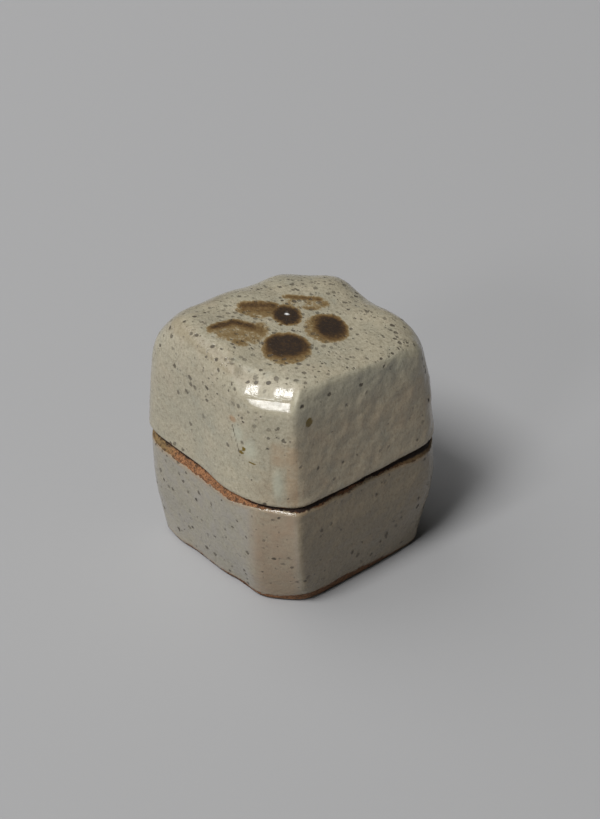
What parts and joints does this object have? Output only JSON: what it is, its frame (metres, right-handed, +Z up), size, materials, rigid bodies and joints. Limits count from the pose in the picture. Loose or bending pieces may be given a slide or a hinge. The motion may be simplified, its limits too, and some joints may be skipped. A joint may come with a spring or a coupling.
{
  "type": "incense box",
  "caption": "Small square stoneware incense box with cut corners: a swelling base with an inner rim, and a lift-off lid with a painted iron blossom.",
  "frame": {"origin": "middle of the foot, on the surface the box stands on", "axes": "+Z up through the lid, +X to the box's right side and +Y to its back"},
  "size_m": [0.0474, 0.0474, 0.0549],
  "materials": {
    "base_glaze": "satin grey-beige glaze over stoneware",
    "lid_glaze": "satin grey-beige glaze over stoneware, with an iron-brown blossom"
  },
  "bodies": {
    "base": {"base": "base_glaze"},
    "lid": {"lid": "lid_glaze"}
  },
  "joints": [
    {"name": "lid_lift", "type": "slide", "parent": "base", "child": "lid", "axis": [0, 0, 1], "range_m": [0, 0.06]}
  ]
}
